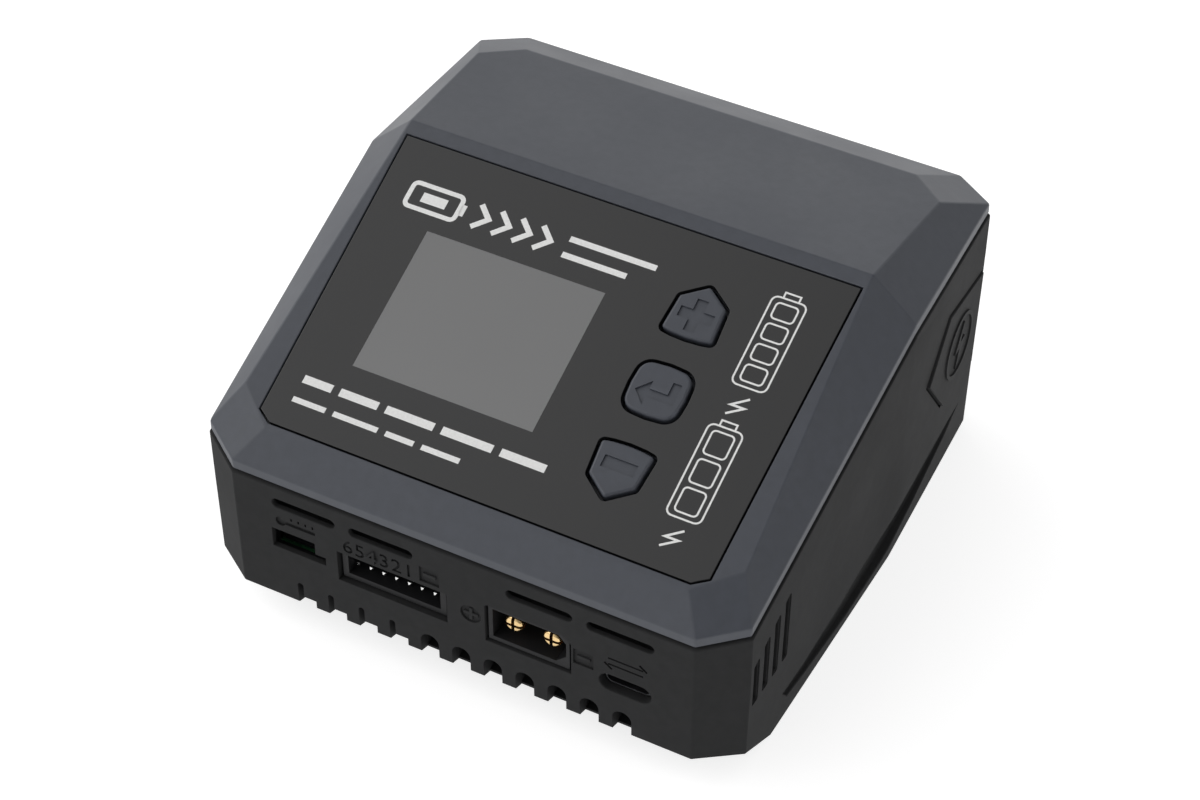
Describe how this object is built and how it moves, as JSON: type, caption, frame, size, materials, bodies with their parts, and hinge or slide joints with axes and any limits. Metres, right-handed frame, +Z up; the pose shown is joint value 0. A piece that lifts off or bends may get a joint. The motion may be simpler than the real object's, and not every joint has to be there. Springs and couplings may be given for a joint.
{
  "type": "balance battery charger",
  "caption": "Desktop balance charger for model batteries: faceted case with sloping panel, display, press keys, front sockets, vents and a rear fan.",
  "frame": {"origin": "centre of the footprint, on the plane that the rubber feet stand on", "axes": "+Z up, -Y towards the front wall with the battery sockets, +X to the user's right"},
  "size_m": [0.1056, 0.105, 0.0633],
  "materials": {
    "slate_plastic": "fine-grained matt slate blue-grey plastic",
    "black_plastic": "fine-grained matt near-black plastic",
    "panel_gloss": "glossy dark grey panel sheet",
    "screen": "dark grey display that is off",
    "circuit_board": "green solder mask",
    "gold_plate": "gold-plated contacts",
    "tin_plate": "tin-plated metal",
    "aluminium": "extruded aluminium",
    "screw_steel": "dark zinc-plated steel",
    "copper_wire": "enamelled copper winding",
    "rubber": "black rubber",
    "capacitor_sleeve": "dark blue shrink sleeve",
    "fuse_glass": "clear glass tube",
    "ribbon_film": "flexible film cable"
  },
  "bodies": {
    "case": {"top_shell": "slate_plastic", "lower_shell": "black_plastic", "balance_header": "black_plastic", "temp_header": "black_plastic", "output_socket": "black_plastic", "mains_inlet": "black_plastic", "dc_input_socket": "black_plastic", "up_switch": "black_plastic", "enter_switch": "black_plastic", "down_switch": "black_plastic", "buzzer": "black_plastic", "fan_frame": "black_plastic", "front_panel": "panel_gloss", "lcd_module": "screen", "display_board": "circuit_board", "main_board": "circuit_board", "power_board": "circuit_board", "output_pin_minus": "gold_plate", "output_pin_plus": "gold_plate", "dc_input_pin_minus": "gold_plate", "dc_input_pin_plus": "gold_plate", "balance_pin_1": "tin_plate", "balance_pin_2": "tin_plate", "balance_pin_3": "tin_plate", "balance_pin_4": "tin_plate", "balance_pin_5": "tin_plate", "balance_pin_6": "tin_plate", "balance_pin_7": "tin_plate", "temp_pin_1": "tin_plate", "temp_pin_2": "tin_plate", "temp_pin_3": "tin_plate", "data_socket": "tin_plate", "mains_pin_1": "tin_plate", "mains_pin_2": "tin_plate", "heatsink": "aluminium", "case_screw_1": "screw_steel", "case_screw_2": "screw_steel", "case_screw_3": "screw_steel", "case_screw_4": "screw_steel", "fan_screw_1": "screw_steel", "fan_screw_2": "screw_steel", "transformer": "screw_steel", "charging_inductor": "copper_wire", "fan_stator": "copper_wire", "rubber_foot_1": "rubber", "rubber_foot_2": "rubber", "rubber_foot_3": "rubber", "rubber_foot_4": "rubber", "bulk_capacitor": "capacitor_sleeve", "output_capacitor_1": "capacitor_sleeve", "output_capacitor_2": "capacitor_sleeve", "fuse": "fuse_glass", "ribbon_cable": "ribbon_film"},
    "up_key": {"up_button": "slate_plastic"},
    "enter_key": {"enter_button": "slate_plastic"},
    "down_key": {"down_button": "slate_plastic"},
    "fan_blades": {"fan_rotor": "black_plastic"}
  },
  "joints": [
    {"name": "up_press", "type": "slide", "parent": "case", "child": "up_key", "axis": [0, 0.3633, -0.9317], "range_m": [0, 0.0008], "stiffness_N_per_m": 1500},
    {"name": "enter_press", "type": "slide", "parent": "case", "child": "enter_key", "axis": [0, 0.3633, -0.9317], "range_m": [0, 0.0008], "stiffness_N_per_m": 1500},
    {"name": "down_press", "type": "slide", "parent": "case", "child": "down_key", "axis": [0, 0.3633, -0.9317], "range_m": [0, 0.0008], "stiffness_N_per_m": 1500},
    {"name": "fan_spin", "type": "hinge", "parent": "case", "child": "fan_blades", "pos_m": [-0.0186, 0.0437, 0.028], "axis": [0, 1, 0], "continuous": true}
  ]
}
